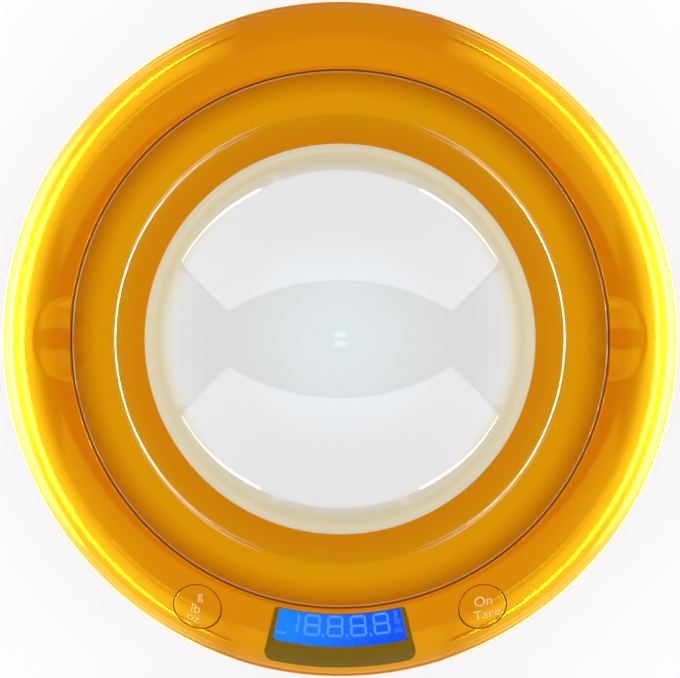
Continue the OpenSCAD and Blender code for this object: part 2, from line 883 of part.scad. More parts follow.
// Place on the board from its middle, then length, width and height
chips = [[-9, -1, 9, 9, 1.6], [8, 0, 10, 4, 1.5], [0, 6.5, 11, 4, 3.2], [-15, 5, 4, 2.5, 1.2]];
module board_chips() {
    color("black")
        for (c = chips)
            translate([c[0] - c[2] / 2, main_post_y + c[1] - c[3] / 2, main_board_z + board_t])
                cube([c[2], c[3], c[4]]);
}
back_plugs = 6.5;
front_plugs = -8;
connectors = [[-22, back_plugs, 8], [22, back_plugs, 8], [-14, front_plugs, 5],
    [14, front_plugs, 5], [0, front_plugs, 12]];
connector_w = 3.2;
connector_h = 3.6;
module board_connectors() {
    color("ivory")
        for (c = connectors)
            translate([c[0] - c[2] / 2, main_post_y + c[1] - connector_w / 2,
                main_board_z + board_t])
                cube([c[2], connector_w, connector_h]);
}
module small_screw(h) {
    cylinder(r = 1.9, h = 1.3);
    translate([0, 0, 1 - h])
        cylinder(r = small_screw_r - fit / 2, h = h);
}
module board_screws() {
    color("silver") {
        for (x = [-main_post_x, main_post_x])
            translate([x, main_post_y, main_board_z + board_t])
                small_screw(7);
        for (a = button_angles, y = [-switch_screw_y, switch_screw_y])
            on_ring(a, button_ring_r)
                translate([0, y, -switch_board_top - board_t])
                    mirror([0, 0, 1])
                        small_screw(6);
        for (s = [-1, 1])
            display_frame()
                translate([3, s * display_post_x, -display_board_top - board_t])
                    mirror([0, 0, 1])
                        small_screw(4);
    }
}
module housing_screws() {
    color("silver")
        round_about(boss_angles, boss_ring)
            translate([0, 0, boss_meet - 4 - screw_head_h - fit / 2])
                difference() {
                    union() {
                        cylinder(r = screw_head_r, h = screw_head_h);
                        cylinder(r = screw_r, h = 18);
                    }
                    translate([0, 0, -1])
                        cube([3.2, 0.8, 3.6], center = true);
                }
}

// Wires: a tube swept along a smooth line through hand-picked points
function bend(p0, p1, p2, p3, t) =
    0.5 * (2 * p1 + (p2 - p0) * t + (2 * p0 - 5 * p1 + 4 * p2 - p3) * t * t
        + (3 * p1 - p0 - 3 * p2 + p3) * t * t * t);
function smooth(p, n = 4) =
    let (last = len(p) - 1)
    concat([for (i = [0 : last - 1], j = [0 : n - 1])
        bend(p[max(i - 1, 0)], p[i], p[i + 1], p[min(i + 2, last)], j / n)], [p[last]]);
function unit(v) = v / norm(v);
function rung(p, d, r, sides) =
    let (side = unit(cross(d, abs(d[2]) > 0.9 * norm(d) ? [1, 0, 0] : [0, 0, 1])))
    let (up = unit(cross(side, d)))
    [for (k = [0 : sides - 1]) let (a = 360 * k / sides) p + r * (cos(a) * side + sin(a) * up)];
module tube(p, r, sides = 6) {
    last = len(p) - 1;
    rings = [for (i = [0 : last])
        each rung(p[i], p[min(i + 1, last)] - p[max(i - 1, 0)], r, sides)];
    walls = [for (i = [0 : last - 1], k = [0 : sides - 1])
        let (a = i * sides + k, b = i * sides + (k + 1) % sides)
        [a, b, b + sides, a + sides]];
    polyhedron(rings, concat(walls, [[for (k = [sides - 1 : -1 : 0]) k],
        [for (k = [0 : sides - 1]) last * sides + k]]), convexity = 6);
}
// Wires side by side, spread square to their run
module wires(p, count) {
    line = smooth(p);
    last = len(line) - 1;
    for (i = [0 : count - 1])
        tube([for (k = [0 : last])
            let (along = line[min(k + 1, last)] - line[max(k - 1, 0)])
            line[k] + (i - (count - 1) / 2) * wire_step * unit(cross(along, [0, 0, 1]))],
            wire_r);
}
wire_step = 1.3;
wire_top = main_board_z + board_t + connector_h + wire_r + 0.2;
module load_cell_leads() {
    color("red")
        wires([[0, -cell_w / 2 - 0.6, 9], [0, -14, 8], [6, -40, 7], [14, -62, 8],
            [19, -69, 12], [21, -71.5, 18], [21.5, -72, 25], [22, -74.5, wire_top],
            [22, main_post_y + back_plugs - 0.5, wire_top]], 4);
}
module battery_leads() {
    color("black")
        wires([[-26.6, battery_mid_y, battery_z], [-31, battery_mid_y, battery_z],
            [-36, battery_mid_y - 1, battery_z], [-46, 61, 9], [-58, 50, 9], [-72, 20, 8],
            [-74, 0, 8],
            [-66, -38, 8], [-46, -62, 10], [-28, -71, 17], [-23, -73.5, 26],
            [-22, -76, wire_top], [-22, main_post_y + back_plugs - 0.5, wire_top]], 2);
}
module switch_leads() {
    color("gray")
        for (s = [0, 1])
            mirror([s, 0, 0])
                wires([[36, -84.6, 59], [35.2, -82.4, 54], [31, -81.5, 44], [24, -86, 36],
                    [16, -92, 32], [14, main_post_y + front_plugs, wire_top]], 2);
}
ribbon_w = 10;
ribbon_t = 0.3;
ribbon_bend = 20;
ribbon_z0 = main_board_z + board_t + connector_h;
ribbon_z1 = crown_z(display_r) - (display_board_top + board_t) / cos(crown_slope(display_r)) + 0.3;
ribbon_rise = ribbon_z1 - ribbon_z0 - 6 - 20 * sin(ribbon_bend);
function ribbon_line(side) =
    trail([-main_post_y - front_plugs, ribbon_z0], 90,
        [[0, 6], [-ribbon_bend, 10], [ribbon_bend, 10], [0, ribbon_rise]], side);
module display_ribbon() {
    color("goldenrod")
        rotate([90, 0, -90])
            linear_extrude(ribbon_w, center = true)
                polygon(concat(ribbon_line(0), back(ribbon_line(-ribbon_t))));
}

// Battery compartment
module door_recess() {
    translate([-door_l / 2 - clear, hinge_y, -1])
        cube([door_l + 2 * clear, door_y1 + clear - hinge_y, base_z + 1 + door_t + clear]);
    translate([-door_l / 2 - clear, hinge_y, hinge_z])
        rotate([0, 90, 0])
            cylinder(r = door_t / 2 + clear, h = door_l + 2 * clear);
    translate([-door_l / 2 - clear, hinge_y - door_t / 2 - clear, -1])
        cube([door_l + 2 * clear, door_t, hinge_z + 1]);
    translate([-door_l / 2 - 2.2, hinge_y, hinge_z])
        rotate([0, 90, 0])
            cylinder(r = hinge_pin_r + 0.05, h = door_l + 4.4);
}
module battery_door() {
    color("orange") {
        translate([-door_l / 2, hinge_y, base_z])
            cube([door_l, door_y1 - hinge_y, door_t]);
        translate([-door_l / 2, hinge_y, hinge_z])
            rotate([0, 90, 0])
                cylinder(r = door_t / 2, h = door_l);
        translate([-door_l / 2 - 1.8, hinge_y, hinge_z])
            rotate([0, 90, 0])
                cylinder(r = hinge_pin_r, h = door_l + 3.6);
        // Snap tongue
        translate([-5, battery_room_y1 - 1.9, base_z + door_t - 0.5])
            cube([10, 1, 2.2]);
    }
}
module cells(i) {
    translate([0, battery_y + i * battery_pitch, battery_z])
        rotate([0, i == 0 ? 90 : -90, 0])
            translate([0, 0, cell_start])
                children();
}
module battery_cells() {
    color("gold")
        for (i = [0, 1])
            cells(i) {
                cylinder(r = battery_d / 2, h = battery_l);
                cylinder(r = nub_r, h = battery_l + nub_l);
            }
}
spring_l = battery_room_l / 2 + cell_start - contact_t;
spring_turns = 3.5;
spring_wire = 0.3;
spring_rings = 40;
function spring_line() =
    [for (k = [0 : spring_rings])
        let (t = k / spring_rings, a = 360 * spring_turns * t, r = 3.7 - 1.2 * t)
        [r * cos(a), r * sin(a), (spring_l - 2 * spring_wire) * (t - 1) - spring_wire]];
module battery_springs() {
    color("silver")
        for (i = [0, 1])
            cells(i)
                tube(spring_line(), spring_wire);
}
module battery_plates() {
    color("silver")
        for (i = [0, 1])
            cells(i)
                for (z = [-battery_room_l / 2 - cell_start,
                    battery_room_l / 2 - cell_start - contact_t])
                    translate([-4.5, -4.5, z])
                        cube([9, 9, contact_t]);
}
module rubber_feet() {
    color("dimgray")
        round_about(foot_angles, foot_ring) {
            cylinder(r = foot_r, h = base_z + foot_sink);
            cylinder(r = foot_stem_r, h = floor_z + foot_sink + 1);
            // Barb that snaps through the floor
            translate([0, 0, floor_z + foot_sink + fit / 2])
                cylinder(r1 = foot_stem_r + 0.8, r2 = foot_stem_r, h = 1.6);
        }
}

lower_housing();
upper_housing();
display_window();
window_gasket();
display_bezel();
lcd_glass();
lcd_backlight();
lcd_contact_strips();
display_board();
tare_button();
unit_button();
tare_switch();
unit_switch();
tare_switch_plunger();
unit_switch_plunger();
switch_boards();
load_cell();
strain_gauges();
gauge_sealant();
load_cell_base_plate();
load_cell_top_spacer();
overload_stop();
base_screws();
platform_plate();
platform();
platform_pads();
platform_screws();
bowl_shell();
bowl_liner();
main_board();
board_chips();
board_connectors();
board_screws();
housing_screws();
load_cell_leads();
battery_leads();
display_ribbon();
switch_leads();
battery_door();
battery_cells();
battery_springs();
battery_plates();
rubber_feet();
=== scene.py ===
import json
import math

import bmesh
import bpy
import numpy as np
from mathutils import Matrix, Vector


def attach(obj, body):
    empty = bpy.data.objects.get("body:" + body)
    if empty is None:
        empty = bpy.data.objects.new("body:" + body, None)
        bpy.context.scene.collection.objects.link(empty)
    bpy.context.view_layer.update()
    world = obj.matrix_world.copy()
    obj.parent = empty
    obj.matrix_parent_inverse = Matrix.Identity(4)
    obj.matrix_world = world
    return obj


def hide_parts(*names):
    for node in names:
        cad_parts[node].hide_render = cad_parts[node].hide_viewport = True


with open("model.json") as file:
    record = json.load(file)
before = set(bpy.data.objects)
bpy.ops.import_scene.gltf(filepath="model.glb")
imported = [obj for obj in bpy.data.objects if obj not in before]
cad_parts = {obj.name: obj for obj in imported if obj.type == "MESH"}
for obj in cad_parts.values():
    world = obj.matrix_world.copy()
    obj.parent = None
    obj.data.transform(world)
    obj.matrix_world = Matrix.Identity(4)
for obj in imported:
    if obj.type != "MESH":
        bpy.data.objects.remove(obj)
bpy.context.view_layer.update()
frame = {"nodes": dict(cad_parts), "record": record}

MM = 0.001
UP, FRONT = 90, 270

# Sizes in millimetres, as the solids have them
BOWL_R = 89.2
LIP_R = 89.9
BODY_R = 112.5
LIP_Z = 73.592
BELLY_Z = 54.52
CROWN_START, CROWN_END = 5.4, 50.05
CROWN_R, SHOULDER_R = 28.8, 13.85
WALL, WELL_WALL = 2.4, 2.0
WELL_Z, BASE_Z, FLOOR_Z = 20.4, 2.0, 4.4
LIP_COVER, LIP_DEPTH = 1.2, 10.0
SEAM_R = 89.55
LINER_R, LINER_Z = 65.2, 52.058
DISH_R, HEEL_R = 114.33, 18.0
LINER_T, BOWL_T = 1.1, 2.6
SEAT_Z = 25.8
BUTTON_RING, BUTTON_R, BUTTON_TILT = 101.3, 8.0, 29.34
BUTTON_ANGLES = {"tare": 298, "unit": 242}
WINDOW_R0, WINDOW_R1, WINDOW_HALF, WINDOW_T = 91.5, 109.3, 13.6, 1.5
VIEW_R0, VIEW_R1, VIEW_HALF = 91.2, 102.5, 12.7
DISPLAY_R, DISPLAY_TILT, GLASS_DEPTH = 97.0, 19.92, 4.8
PARTING = 0.5
FOOT_IN, FOOT_OUT = 29.7, 32.3
SCREW_RING, SCREW_ANGLES = 85, (0, 50, 130, 180, 222, 318)
BOSS_R, BOSS_TOP, BOSS_HOLE_R, BOSS_HOLE_TOP = 3.8, 31.95, 3.1, 28
CELL_SCREWS_X, CELL_SCREW_R, CELL_SCREW_TOP = (-32.5, -20.5), 3.7, 3.4


# Profiles: points along a run of legs, as (radius, height)

def sind(a):
    return math.sin(math.radians(a))


def cosd(a):
    return math.cos(math.radians(a))


def run(start, heading, legs, side=0.0, step=0.9):
    """Points of a line that starts at a point with a heading. A leg is ("turn", degrees, radius) or
    ("go", length). The line may be shifted to its left."""
    p = np.array(start, float) + side * np.array([-sind(heading), cosd(heading)])
    points = [p]
    for leg in legs:
        if leg[0] == "go":
            n = max(1, math.ceil(leg[1] / (3 * step)))
            points += [p + leg[1] * i / n * np.array([cosd(heading), sind(heading)])
                       for i in range(1, n + 1)]
        else:
            _, turn, radius = leg
            s = 1 if turn > 0 else -1
            r = radius - s * side
            n = max(3, math.ceil(abs(math.radians(turn)) * radius / step))
            centre = p + s * r * np.array([-sind(heading), cosd(heading)])
            points += [centre + s * r * np.array([sind(heading + turn * i / n),
                                                  -cosd(heading + turn * i / n)])
                       for i in range(1, n + 1)]
            heading += turn
        p = points[-1]
    return points


def ring_line(depth=0.0):
    """The ring from its belly up to its lip, or a line under it"""
    return run((BODY_R, BELLY_Z), 90, [("turn", 90 - CROWN_END, SHOULDER_R),
                                       ("turn", CROWN_END - CROWN_START, CROWN_R)], depth)


CROWN_AT = LIP_R - CROWN_R * sind(CROWN_START)
CROWN_TOP = LIP_Z + CROWN_R * (1 - cosd(CROWN_START))


def crown_z(r):
    """Height of the ring at a radius"""
    return CROWN_TOP - CROWN_R + np.sqrt(np.maximum(CROWN_R ** 2 - (r - CROWN_AT) ** 2, 0))


def well_line(side=0.0):
    """The well that the bowl sits in, from its lip down to its floor"""
    shelf, turn, foot = 4.0, 8.0, 6.0
    drop = (LIP_Z - LIP_COVER - WELL_Z - LIP_DEPTH - shelf * cosd(40) - 12 * sind(40)
            - turn * (cosd(40) - cosd(70)) - foot * (1 - cosd(70)))
    return run((LIP_R, LIP_Z - LIP_COVER), -90, [
        ("go", LIP_DEPTH), ("turn", -50, shelf), ("go", 12), ("turn", 30, turn),
        ("go", drop / sind(70)), ("turn", -70, foot)], side)


def bowl_line(depth=0.0):
    """The bowl from its rim in to the axis, or a line under it"""
    flange, crest = 48.0, 3.0
    start = (BOWL_R - 0.4, LIP_Z)
    wall = start[0] - flange * (sind(28) - sind(11)) - crest * (sind(60) - sind(28)) - LINER_R
    return run(start, 191, [
        ("turn", 17, flange), *[("turn", 8, crest)] * 4, ("go", wall / cosd(60)),
        ("turn", -29, HEEL_R), ("turn", -31, DISH_R)], depth)


def round_corner(before, corner, after, radius, n=5):
    """A corner's points, rounded"""
    a, b, c = (np.array(p, float) for p in (before, corner, after))
    u, v = (a - b) / np.linalg.norm(a - b), (c - b) / np.linalg.norm(c - b)
    half = math.acos(np.clip(u @ v, -1, 1)) / 2
    p, q = b + u * radius / math.tan(half), b + v * radius / math.tan(half)
    centre = b + (u + v) / np.linalg.norm(u + v) * radius / math.sin(half)
    out = []
    for i in range(n + 1):
        d = (p - centre) * (1 - i / n) + (q - centre) * i / n
        out.append(centre + d / np.linalg.norm(d) * radius)
    return out


# Meshes

def piece(name, points, faces):
    """A mesh object from points in millimetres"""
    mesh = bpy.data.meshes.new(name)
    mesh.from_pydata((np.array(points, float) * MM).tolist(), [], faces)
    mesh.validate()
    obj = bpy.data.objects.new(name, mesh)
    bpy.context.scene.collection.objects.link(obj)
    bm = bmesh.new()
    bm.from_mesh(mesh)
    bmesh.ops.recalc_face_normals(bm, faces=bm.faces)
    bm.to_mesh(mesh)
    bm.free()
    return obj


def round_angles(dense=(), coarse=1.5, fine=0.5):
    """Angles all round, closer together inside the given spans"""
    out, a = [], 0.0
    while a < 360 - 1e-6:
        out.append(a)
        near = any((a - lo) % 360 < (hi - lo) for lo, hi in dense)
        a += fine if near else coarse
    if 360 - out[-1] < 0.2:
        out.pop()
    return out


def lathe(name, profile, angles, shift=None):
    """A profile that starts and ends on the axis, turned all round. shift moves heights."""
    profile = [np.array(p, float) for p in profile]
    n = len(angles)
    turn = np.radians(angles)
    points, rows = [], []
    for r, z in profile:
        if r < 1e-6:
            rows.append([len(points)] * n)
            points.append((0, 0, z))
            continue
        x, y = r * np.cos(turn), r * np.sin(turn)
        heights = np.full(n, z)
        if shift is not None:
            heights = heights + shift(x, y, r, z)
        rows.append(list(range(len(points), len(points) + n)))
        points += list(zip(x, y, heights))
    faces = []
    for a, b in zip(rows, rows[1:]):
        for i in range(n):
            j = (i + 1) % n
            loop = [a[i], a[j], b[j], b[i]]
            faces.append([v for k, v in enumerate(loop) if v not in loop[:k]])
    return piece(name, points, [f for f in faces if len(f) > 2])


def prism(name, outline, z0, z1):
    """An outline drawn up between two heights"""
    n = len(outline)
    points = [(x, y, z0) for x, y in outline] + [(x, y, z1) for x, y in outline]
    faces = [list(range(n))[::-1], list(range(n, 2 * n))]
    faces += [[i, (i + 1) % n, n + (i + 1) % n, n + i] for i in range(n)]
    return piece(name, points, faces)


def disc_outline(r, n=96, centre=(0, 0)):
    return [(centre[0] + r * cosd(360 * i / n), centre[1] + r * sind(360 * i / n))
            for i in range(n)]


def block(name, lo, hi):
    return prism(name, [(lo[0], lo[1]), (hi[0], lo[1]), (hi[0], hi[1]), (lo[0], hi[1])],
                 lo[2], hi[2])


def place(obj, matrix):
    """Moves a mesh's points, not its object"""
    obj.data.transform(matrix)
    return obj


def on_ring(angle):
    """A button's frame on the ring: Z square to the surface, X outward. In metres."""
    return (Matrix.Rotation(math.radians(angle), 4, "Z")
            @ Matrix.Translation(Vector((BUTTON_RING, 0, float(crown_z(BUTTON_RING)))) * MM)
            @ Matrix.Rotation(math.radians(BUTTON_TILT), 4, "Y"))


def settle(obj):
    """Turns modifiers into the mesh itself"""
    bpy.context.view_layer.update()
    graph = bpy.context.evaluated_depsgraph_get()
    mesh = bpy.data.meshes.new_from_object(obj.evaluated_get(graph))
    obj.modifiers.clear()
    old, obj.data = obj.data, mesh
    bpy.data.meshes.remove(old)
    return obj


def combine(obj, others, operation):
    """Cuts with other pieces, joins them or keeps what they share. The others are used up."""
    for other in others:
        mod = obj.modifiers.new("cut", "BOOLEAN")
        mod.operation, mod.object, mod.solver = operation, other, "EXACT"
    settle(obj)
    for other in others:
        bpy.data.objects.remove(other)
    return obj


def soften(obj, angle=32):
    obj.data.polygons.foreach_set("use_smooth", [True] * len(obj.data.polygons))
    obj.data.set_sharp_from_angle(angle=math.radians(angle))
    return obj


def sector_outline(r0, r1, half, c0, c1, grow=0.0, step=0.5):
    """Outline of a sector of a ring about the front, with rounded corners"""
    d1, d0 = math.degrees(math.asin(c1 / (r1 - c1))), math.degrees(math.asin(c0 / (r0 + c0)))
    a = FRONT - half + d1
    edge = (r1 - c1) * cosd(d1) - (r0 + c0) * cosd(d0)
    legs = [("turn", 2 * (half - d1), r1), ("turn", 90 + d1, c1), ("go", edge),
            ("turn", 90 - d0, c0), ("turn", -2 * (half - d0), r0), ("turn", 90 - d0, c0),
            ("go", edge), ("turn", 90 + d1, c1)]
    points = run((r1 * cosd(a), r1 * sind(a)), a + 90, legs, -grow, step)
    return [tuple(p) for p in points[:-1]]


# Finishes

class Value:
    """A number or colour that varies over a surface"""

    def __init__(self, paint, socket):
        self.paint, self.socket = paint, socket

    def math(self, kind, *others, swap=False):
        terms = (*others, self) if swap else (self, *others)
        return self.paint.node("Math", {"operation": kind}, dict(enumerate(terms)))

    def __add__(self, other):
        return self.math("ADD", other)

    def __sub__(self, other):
        return self.math("SUBTRACT", other)

    def __rsub__(self, other):
        return self.math("SUBTRACT", other, swap=True)

    def __mul__(self, other):
        return self.math("MULTIPLY", other)

    def __truediv__(self, other):
        return self.math("DIVIDE", other)

    def __abs__(self):
        return self.math("ABSOLUTE")

    __radd__, __rmul__ = __add__, __mul__

    def root(self):
        return self.math("SQRT")

    def most(self, other):
        """The larger of two values"""
        return self.math("MAXIMUM", other)

    def fade(self, lo, hi):
        """0 below lo and 1 above hi, or the other way round"""
        return self.paint.node("MapRange", {"interpolation_type": "SMOOTHSTEP"},
                               {"Value": self, "From Min": lo, "From Max": hi})


class Paint:
    """A material and the nodes that make it"""

    def __init__(self, name, world=None):
        self.owner = world or bpy.data.materials.new(name)
        self.owner.use_nodes = True
        self.tree = self.owner.node_tree
        self.tree.nodes.clear()

    def node(self, kind, settings=None, inputs=None, output=0):
        made = self.tree.nodes.new("ShaderNode" + kind)
        for key, value in (settings or {}).items():
            setattr(made, key, value)
        for key, value in (inputs or {}).items():
            if isinstance(value, Value):
                self.tree.links.new(value.socket, made.inputs[key])
            else:
                made.inputs[key].default_value = value
        return Value(self, made.outputs[output])

    def out(self, shader, kind="Material"):
        end = self.tree.nodes.new("ShaderNodeOutput" + kind)
        self.tree.links.new(shader.socket, end.inputs["Surface"])
        return self.owner

    def place(self):
        """x, y and z in millimetres, in the piece's own frame"""
        where = self.node("TexCoord", output="Object")
        split = [self.node("SeparateXYZ", {}, {0: where}, output=i) * 1000 for i in range(3)]
        return where, split

    def noise(self, where, scale, detail=2.0, roughness=0.5):
        return self.node("TexNoise", {}, {"Vector": where, "Scale": scale, "Detail": detail,
                                          "Roughness": roughness}, output="Fac")

    def mix(self, factor, a, b):
        made = self.tree.nodes.new("ShaderNodeMix")
        made.data_type = "RGBA"
        for index, value in ((0, factor), (6, a), (7, b)):
            if isinstance(value, Value):
                self.tree.links.new(value.socket, made.inputs[index])
            else:
                made.inputs[index].default_value = value if index == 0 else (*value, 1)
        return Value(self, made.outputs[2])

    def bump(self, height, strength, distance):
        return self.node("Bump", {}, {"Height": height, "Strength": strength,
                                      "Distance": distance})

    def surface(self, **sockets):
        inputs = {key.replace("_", " "): ((*value, 1) if isinstance(value, tuple)
                                          and len(value) == 3 else value)
                  for key, value in sockets.items()}
        return self.node("BsdfPrincipled", {}, inputs)


# Scales of the slow drift of colour and of the fine grain
SLOW, FINE = 18, 900
CREST_R, RIM_R = 74.9, 88.95
# The seam's colour is a painted glow, given as emission. The rim's tone is a painted highlight, and
# the drift is a random change of tone.
SEAM_GLOW, RIM_HIGHLIGHT, DRIFT_TONE = (0.25, 0.065, 0.005), (0.45, 0.22, 0.06), (0.25, 0.06, 0.001)


def moulded(name, colour, rough, grain=0.0, **more):
    """Moulded plastic or rubber: a slow drift of colour and a fine grain"""
    paint = Paint(name)
    where, _ = paint.place()
    slow = paint.noise(where, SLOW)
    fine = paint.noise(where, FINE, 3)
    darker = tuple(c * 0.94 for c in colour)
    sockets = dict(Base_Color=paint.mix(slow, darker, colour),
                   Roughness=fine * 0.05 + (rough - 0.025), **more)
    if grain:
        sockets["Normal"] = paint.bump(fine, grain, 0.0002)
    return paint.out(paint.surface(**sockets))


def orange(name, tone, warm, ior=1.1, tint=(27.0, 24.0, 0.3), edge=None):
    """Glossy dyed plastic with yellow reflections. It has a little painted glow in the seam, and
    its ring has painted side light that makes it warmer on the shoulders at the left and right. The
    bowl has an edge colour too: its wall starts warm, its flange has painted shade that darkens
    it towards the edge, its crest and rim are polished, and its rim has a painted highlight."""
    paint = Paint(name)
    where, (x, y, z) = paint.place()
    r, steep = (x * x + y * y).root(), abs(y / x)
    top = z.fade(60, 62)
    # A painted glow in the seam between the ring and the bowl, given as emission
    seam = abs(r - SEAM_R).fade(0.5, 0.3) * top
    slow = paint.noise(where, SLOW)
    rough, coat = paint.noise(where, FINE, 3) * 0.04 + 0.08, 0.0
    if edge:
        crest = abs(r - CREST_R).fade(1.1, 0.6)
        rim = abs(r - RIM_R).fade(0.45, 0.2)
        rough = rough + crest * 0.2
        coat = (crest * (steep.fade(0.2, 1.0) * 0.6 + 0.4) * steep.fade(3.0, 1.6)).most(rim * 0.15)
        colour = paint.mix(r.fade(68, 75), warm, tone)
        # Painted shade: the flange darkens towards its edge
        colour = paint.mix(r.fade(79, 91), colour, edge)
        colour = paint.mix(slow * 0.05, colour, DRIFT_TONE)
        # A painted highlight: a pale line along the bowl's rounded rim
        colour = paint.mix(rim, colour, RIM_HIGHLIGHT)
    else:
        # Painted side light: the ring's top turns warmer and yellower on its shoulders at the left
        # and right, where the side lamps fall
        side_lit_shoulder = r.fade(93, 101) * steep.fade(1.6, 0.5) * top
        colour = paint.mix(slow, tuple(c * 0.97 for c in tone), tone)
        colour = paint.mix(side_lit_shoulder, colour, warm)
    return paint.out(paint.surface(
        Base_Color=colour, Roughness=rough, Specular_Tint=tint, IOR=ior,
        Coat_Weight=coat, Coat_IOR=1.9, Coat_Roughness=0.1,
        Emission_Color=paint.mix(seam, (0, 0, 0), SEAM_GLOW), Emission_Strength=1.0))


def metal(name, colour, rough, brushed=False):
    paint = Paint(name)
    where, _ = paint.place()
    if brushed:
        where = paint.node("Mapping", {}, {"Vector": where, "Scale": (1, 30, 30)})
    streaks = paint.noise(where, 300 if brushed else 120, 3)
    return paint.out(paint.surface(
        Base_Color=paint.mix(streaks, tuple(c * 0.85 for c in colour), colour),
        Roughness=streaks * 0.15 + (rough - 0.07), Metallic=1.0))


# The amber is painted side light on the ring's shoulders at the left and right
ORANGE, SIDE_LIT_AMBER = (0.60, 0.150, 0.0010), (0.66, 0.225, 0.0010)
# The bowl's edge colour is painted shade, darkening its flange towards the rim
BOWL_TONE, BOWL_WALL, BOWL_EDGE_SHADE = (0.67, 0.275, 0.001), (0.665, 0.235, 0.001), (0.42, 0.107, 0.001)
FINISHES = {
    "body_plastic": orange("body plastic", ORANGE, SIDE_LIT_AMBER),
    "button_plastic": orange("button plastic", ORANGE, SIDE_LIT_AMBER),
    "bowl_plastic": orange("bowl plastic", BOWL_TONE, BOWL_WALL, 1.04, (14, 12, 0.1), BOWL_EDGE_SHADE),
    "tape": moulded("tape", (0.02, 0.02, 0.02), 0.6),
    "bezel": moulded("bezel", (0.02, 0.02, 0.02), 0.5, grain=0.2),
    "diffuser": moulded("diffuser", (0.45, 0.62, 0.85), 0.3),
    "contact_strip": moulded("contact strip", (0.6, 0.3, 0.33), 0.55),
    "circuit_board": moulded("circuit board", (0.02, 0.12, 0.035), 0.35, grain=0.3),
    "chip": moulded("chip", (0.02, 0.02, 0.022), 0.45, grain=0.4),
    "connector": moulded("connector", (0.75, 0.7, 0.58), 0.4, grain=0.2),
    "switch": moulded("switch", (0.03, 0.03, 0.03), 0.4, grain=0.2),
    "cell_metal": metal("cell metal", (0.75, 0.76, 0.78), 0.35, brushed=True),
    "gauge": moulded("gauge", (0.55, 0.32, 0.12), 0.4),
    "sealant": moulded("sealant", (0.82, 0.82, 0.8), 0.5, grain=0.5),
    "steel": metal("steel", (0.55, 0.55, 0.55), 0.4, brushed=True),
    "screw": metal("screw", (0.7, 0.7, 0.7), 0.3),
    "platform_plastic": moulded("platform plastic", (0.8, 0.8, 0.78), 0.4, grain=0.4),
    "rubber": moulded("rubber", (0.03, 0.03, 0.03), 0.7, grain=0.8),
    "wire": moulded("wire", (0.25, 0.03, 0.03), 0.45),
    "ribbon": moulded("ribbon", (0.6, 0.33, 0.06), 0.35),
    "battery": metal("battery", (0.6, 0.45, 0.12), 0.35),
    "contact": metal("contact", (0.75, 0.74, 0.7), 0.25),
}


def lining_finish():
    """White at the bottom and yellowish towards the side, in painted light: lighter in the middle,
    with painted shade and painted orange bounce light from the bowl's wall towards the side
    """
    paint = Paint("lining")
    where, (x, y, z) = paint.place()
    r = (x * x + y * y).root()
    # Painted light: the middle is lighter, the sides greyer in painted shade, and the band near the
    # wall yellowish in painted bounce light from the orange wall
    centre, white, bounce_tint = (0.80, 0.865, 0.82), (0.74, 0.735, 0.69), (0.72, 0.65, 0.42)
    colour = paint.mix(r.fade(55, 60), paint.mix(r.fade(5, 45), centre, white), bounce_tint)
    return paint.out(paint.surface(Base_Color=colour, IOR=1.6, Coat_Weight=0.5,
                                   Coat_Roughness=0.02,
                                   Roughness=paint.noise(where, 400) * 0.02 + 0.02))


def lcd_finish():
    """Blue display, lighter at its left end"""
    paint = Paint("display")
    where, (x, y, z) = paint.place()
    blue = paint.mix(x.fade(-22, 22), (0.004, 0.24, 1.0), (0.0, 0.085, 1.0))
    return paint.out(paint.surface(Base_Color=(0.001, 0.01, 0.1), Roughness=0.3,
                                   Specular_IOR_Level=0.0, Emission_Color=blue,
                                   Emission_Strength=0.95))


def window_finish():
    """Clear over the display, and smoky outside it"""
    paint = Paint("window")
    where, (x, y, z) = paint.place()
    r = (x * x + y * y).root()
    sides = [math.tan(math.radians(VIEW_HALF + more)) for more in (-0.15, 0.05)]
    outside = r.fade(VIEW_R1 - 0.15, VIEW_R1 + 0.15).most(abs(x / y).fade(*sides))
    return paint.out(paint.surface(
        Base_Color=(0.166, 0.092, 0.0010), Roughness=0.08, IOR=1.2,
        Specular_Tint=(1.0, 0.7, 0.1), Alpha=outside * 0.91 + 0.02))


def glowing(name, colour, light):
    """A figure on the display"""
    return moulded(name, colour, 0.5, Specular_IOR_Level=0.0, Emission_Color=(*light, 1),
                   Emission_Strength=1.0)


PALE_BLUE = (0.055, 0.29, 1.0)
FINISHES["lining"] = lining_finish()
FINISHES["display"] = lcd_finish()
FINISHES["window"] = window_finish()
FINISHES["display_digit"] = glowing("display digit", (0.03, 0.05, 0.1), PALE_BLUE)
FINISHES["display_mark"] = glowing("display mark", (0.01, 0.02, 0.06), PALE_BLUE)
FINISHES["print"] = moulded("print", (0.90, 0.62, 0.22), 0.4)


def finish(obj, slot_name, paint=None):
    """Gives a piece its material, found by its slot name unless a paint is given"""
    obj.data.materials.clear()
    obj.data.materials.append(FINISHES[paint or slot_name])
    return obj


def mount(obj, body, slot_name, nodes=(), paint=None):
    """Finishes a piece, puts it on its body and lets it stand in for solids"""
    finish(obj, slot_name, paint)
    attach(obj, body)
    if nodes:
        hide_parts(*nodes)
    return obj


# Finger dimples

def dip(x, y, top, ball_r, centre_r, centre_z, blend):
    """How far a ball pressed in at the left and right lowers a surface"""
    d = np.hypot(np.abs(x) - centre_r, y)
    ball = np.where(d < ball_r, centre_z - np.sqrt(np.maximum(ball_r ** 2 - d ** 2, 0)), 999.0)
    h = np.clip(0.5 + 0.5 * (ball - top) / blend, 0, 1)
    low = top * h + ball * (1 - h) - blend * h * (1 - h)
    return np.where(d < ball_r, np.minimum(low - top, 0), 0)


